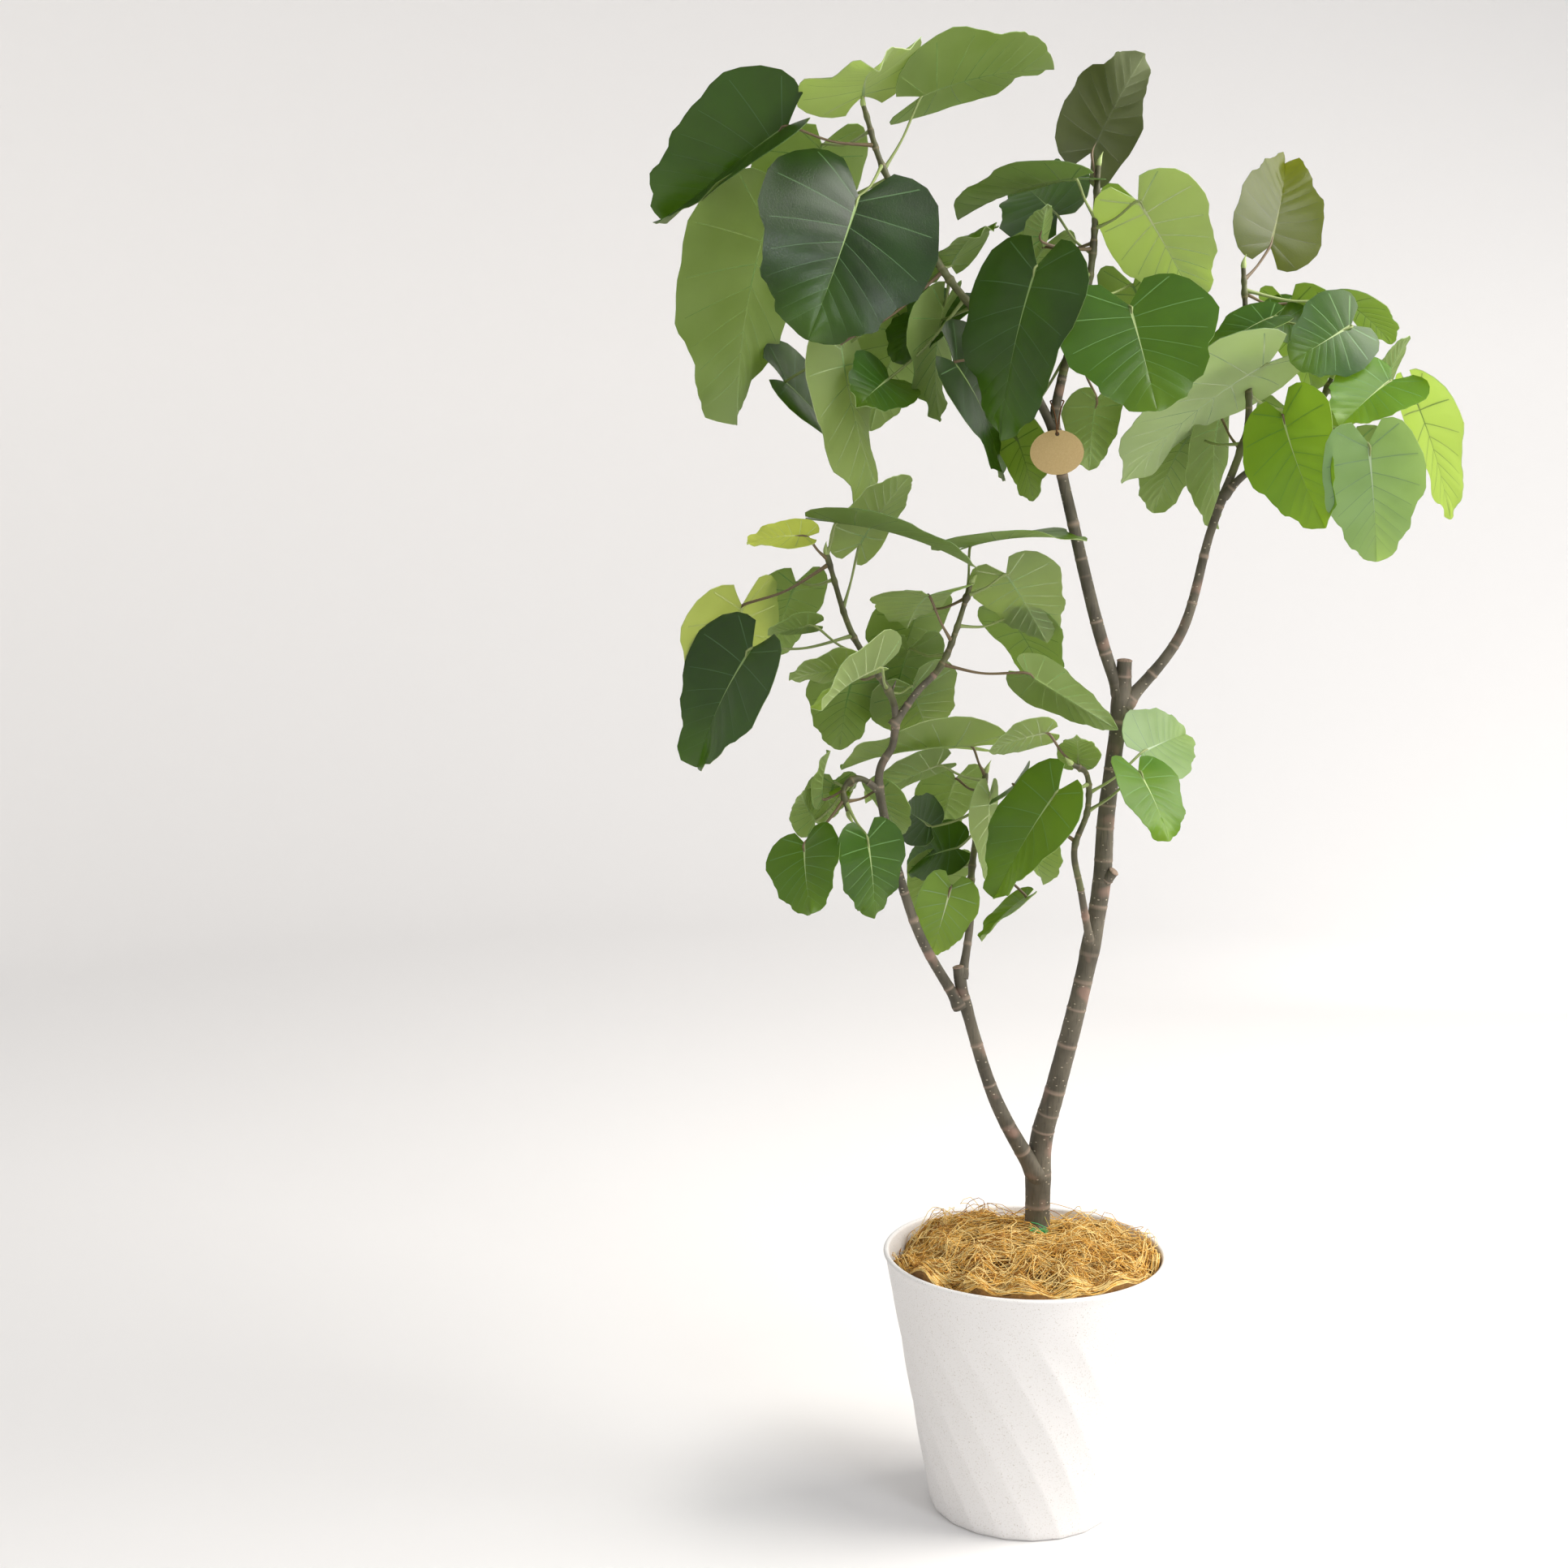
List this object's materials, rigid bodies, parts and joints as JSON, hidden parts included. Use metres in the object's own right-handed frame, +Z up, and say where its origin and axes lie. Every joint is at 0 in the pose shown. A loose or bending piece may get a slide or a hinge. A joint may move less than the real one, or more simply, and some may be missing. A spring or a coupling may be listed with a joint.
{
  "type": "potted ficus umbellata",
  "caption": "Tall indoor ficus umbellata with a forked trunk and broad heart-shaped leaves in open masses, in a white twisted-facet pot mulched with coir.",
  "frame": {"origin": "centre of the pot's flat underside", "axes": "+Z up, +X to the right and -Y towards the viewer, as the plant is seen from the front"},
  "size_m": [0.8041, 0.3694, 1.5228],
  "materials": {
    "white_pot": "matt white moulded resin with a fine sandy speckle",
    "coir": "matted golden-brown coconut fibre over potting mix",
    "bark": "smooth grey-brown living bark with ring scars",
    "foliage": "broad green leaves, half glossy above and pale and matt below",
    "card": "bare brown kraft card",
    "tie_cord": "thin brown twisted cord"
  },
  "bodies": {
    "root": {"pot": "white_pot", "coir_fill": "coir", "trunk": "bark", "left_bough": "bark", "leader_bough": "bark", "right_bough": "bark", "upper_left_bough": "bark", "right_side_bough": "bark", "left_outer_bough": "bark", "middle_bough": "bark", "left_inner_bough": "bark", "low_right_bough": "bark", "low_left_bough": "bark", "crown_centre": "foliage", "right_crown": "foliage", "upper_left_crown": "foliage", "right_side_foliage": "foliage", "mid_left_foliage": "foliage", "mid_right_foliage": "foliage", "inner_foliage": "foliage", "low_right_foliage": "foliage", "low_left_foliage": "foliage", "tag": "card", "tag_tie": "tie_cord"}
  },
  "joints": []
}
